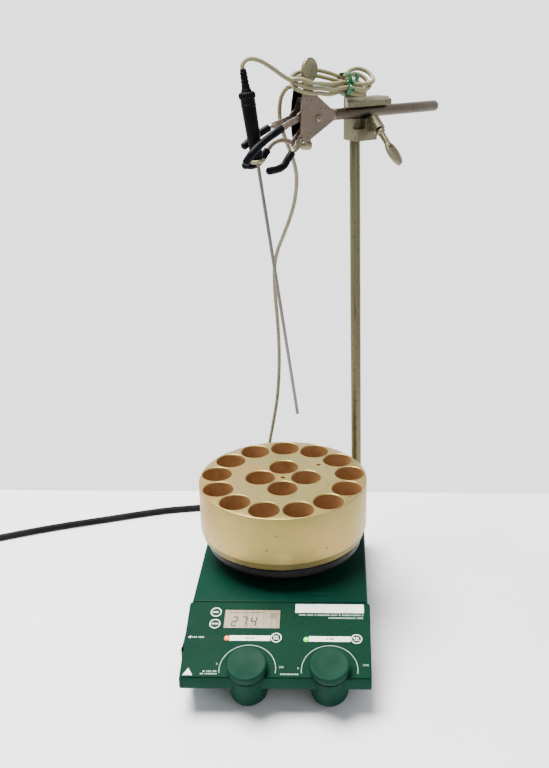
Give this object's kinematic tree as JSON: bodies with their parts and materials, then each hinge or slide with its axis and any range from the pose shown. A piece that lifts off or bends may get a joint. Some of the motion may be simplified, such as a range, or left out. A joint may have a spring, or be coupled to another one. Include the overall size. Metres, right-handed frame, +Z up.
{
  "type": "magnetic stirrer",
  "caption": "Hotplate stirrer with a sloped control panel, a round vial block, and a rod and clamp that hold a temperature probe.",
  "frame": {"origin": "middle of the bottom of the box round everything but the free cords, on the bench", "axes": "+X to the right seen from the front, +Y to the back, +Z up"},
  "size_m": [0.6438, 0.3678, 0.5152],
  "materials": {
    "housing_green": "satin, scuffed",
    "control_panel": "satin printed film",
    "knobs": "matte moulded",
    "keys": "satin printed film",
    "display": "clear window over a grey-beige display",
    "heat_light": "lit",
    "stir_light": "lit",
    "board": "circuit board",
    "black_plastic": "moulded",
    "rubber": "matte",
    "vinyl": "soft sheen",
    "machine_steel": "plain",
    "plate_coating": "black coated",
    "block_anodised": "satin anodised",
    "nickel": "worn nickel plate",
    "probe_steel": "satin",
    "probe_cable": "beige silicone"
  },
  "bodies": {
    "base": {"housing": "housing_green", "console": "housing_green", "bottom_cover": "black_plastic", "foot_front_left": "rubber", "foot_front_right": "rubber", "foot_rear_left": "rubber", "foot_rear_right": "rubber", "panel_overlay": "control_panel", "lcd_window": "display", "lcd_module": "display", "heat_led": "heat_light", "stir_led": "stir_light", "circuit_board": "board", "temperature_potentiometer": "machine_steel", "speed_potentiometer": "machine_steel", "transformer": "machine_steel", "motor_stator": "machine_steel", "heat_shield": "machine_steel", "plate_neck": "black_plastic", "heater": "machine_steel", "hot_plate": "plate_coating", "support_rod": "nickel", "rod_collar": "nickel", "cord_gland": "rubber", "probe_socket": "probe_steel", "probe_plug": "black_plastic", "probe_cable_drop": "probe_cable", "mains_cord": "rubber", "mains_coil": "rubber", "mains_plug": "black_plastic"},
    "temperature_dial": {"temperature_knob": "knobs"},
    "speed_dial": {"speed_knob": "knobs"},
    "mode_key": {"mode_button": "keys"},
    "set_key": {"set_button": "keys"},
    "heat_key": {"heat_button": "keys"},
    "stir_key": {"stir_button": "keys"},
    "rocker": {"power_rocker": "black_plastic"},
    "rotor": {"rotor_shaft": "machine_steel", "magnet_carrier": "machine_steel", "drive_magnet": "machine_steel"},
    "block": {"reaction_block": "block_anodised"},
    "boss": {"boss_head": "nickel"},
    "rod_thumbscrew": {"boss_rod_screw": "nickel"},
    "arm_thumbscrew": {"boss_arm_screw": "nickel"},
    "clamp": {"clamp_arm": "nickel", "clamp_cheeks": "nickel", "pivot_rivet": "nickel", "cable_hank": "probe_cable", "probe_cable_top": "probe_cable"},
    "wing_screw": {"jaw_screw": "nickel", "jaw_nut": "nickel"},
    "jaw_upper": {"upper_jaw": "nickel", "upper_front_sleeve": "vinyl", "upper_rear_sleeve": "vinyl"},
    "jaw_lower": {"lower_jaw": "nickel", "lower_front_sleeve": "vinyl", "lower_rear_sleeve": "vinyl"},
    "probe": {"probe_shaft": "probe_steel", "probe_handle": "black_plastic", "probe_boot": "black_plastic"}
  },
  "joints": [
    {"name": "temperature_turn", "type": "hinge", "parent": "base", "child": "temperature_dial", "pos_m": [-0.05485, -0.14557, 0.04474], "axis": [0, 0.3112, -0.9504], "range_deg": [0, 270]},
    {"name": "speed_turn", "type": "hinge", "parent": "base", "child": "speed_dial", "pos_m": [0.01375, -0.14557, 0.04474], "axis": [0, 0.3112, -0.9504], "range_deg": [0, 270]},
    {"name": "mode_press", "type": "slide", "parent": "base", "child": "mode_key", "axis": [0, 0.3112, -0.9504], "range_m": [0, 0.0006], "stiffness_N_per_m": 900},
    {"name": "set_press", "type": "slide", "parent": "base", "child": "set_key", "axis": [0, 0.3112, -0.9504], "range_m": [0, 0.0006], "stiffness_N_per_m": 900},
    {"name": "heat_press", "type": "slide", "parent": "base", "child": "heat_key", "axis": [0, 0.3112, -0.9504], "range_m": [0, 0.0006], "stiffness_N_per_m": 900},
    {"name": "stir_press", "type": "slide", "parent": "base", "child": "stir_key", "axis": [0, 0.3112, -0.9504], "range_m": [0, 0.0006], "stiffness_N_per_m": 900},
    {"name": "power_rock", "type": "hinge", "parent": "base", "child": "rocker", "pos_m": [-0.10825, -0.11362, 0.038], "axis": [0, 0, 1], "range_deg": [0, 10]},
    {"name": "rotor_spin", "type": "hinge", "parent": "base", "child": "rotor", "pos_m": [-0.03125, 0.00738, 0.04], "axis": [0, 0, 1], "continuous": true},
    {"name": "block_lift", "type": "slide", "parent": "base", "child": "block", "axis": [0, 0, 1], "range_m": [0, 0.05]},
    {"name": "boss_slide", "type": "slide", "parent": "base", "child": "boss", "axis": [-0.0161, 0, 0.9999], "range_m": [-0.055, 0], "deforming": ["probe_cable_drop"]},
    {"name": "arm_slide", "type": "slide", "parent": "boss", "child": "clamp", "axis": [0.7408, 0.6717, 0], "range_m": [-0.018, 0.001], "deforming": ["probe_cable_drop"]},
    {"name": "arm_screw_turn", "type": "hinge", "parent": "boss", "child": "arm_thumbscrew", "pos_m": [0.04495, 0.09416, 0.4654], "axis": [0.475, -0.5238, -0.7071], "range_deg": [-180, 180]},
    {"name": "rod_screw_turn", "type": "hinge", "parent": "boss", "child": "rod_thumbscrew", "pos_m": [0.03306, 0.10444, 0.4594], "axis": [0, 1, 0], "range_deg": [-180, 180]},
    {"name": "jaw_screw_turn", "type": "hinge", "parent": "clamp", "child": "wing_screw", "pos_m": [-0.00824, 0.04593, 0.4654], "axis": [0.0581, 0.0527, 0.9969], "range_deg": [0, 1080]},
    {"name": "upper_jaw_open", "type": "hinge", "parent": "clamp", "child": "jaw_upper", "pos_m": [-0.00298, 0.0507, 0.4645], "axis": [-0.6717, 0.7408, 0], "range_deg": [0, 5.4]},
    {"name": "lower_jaw_open", "type": "hinge", "parent": "clamp", "child": "jaw_lower", "pos_m": [-0.00298, 0.0507, 0.4645], "axis": [0.6717, -0.7408, 0], "range_deg": [0, 5.4]},
    {"name": "probe_slide", "type": "slide", "parent": "clamp", "child": "probe", "axis": [-0.1336, 0, 0.991], "range_m": [0, 0.012], "deforming": ["probe_cable_top"]}
  ],
  "couplings": [
    {"joint": "upper_jaw_open", "follows": "jaw_screw_turn", "ratio": 0.005},
    {"joint": "lower_jaw_open", "follows": "jaw_screw_turn", "ratio": 0.005}
  ]
}
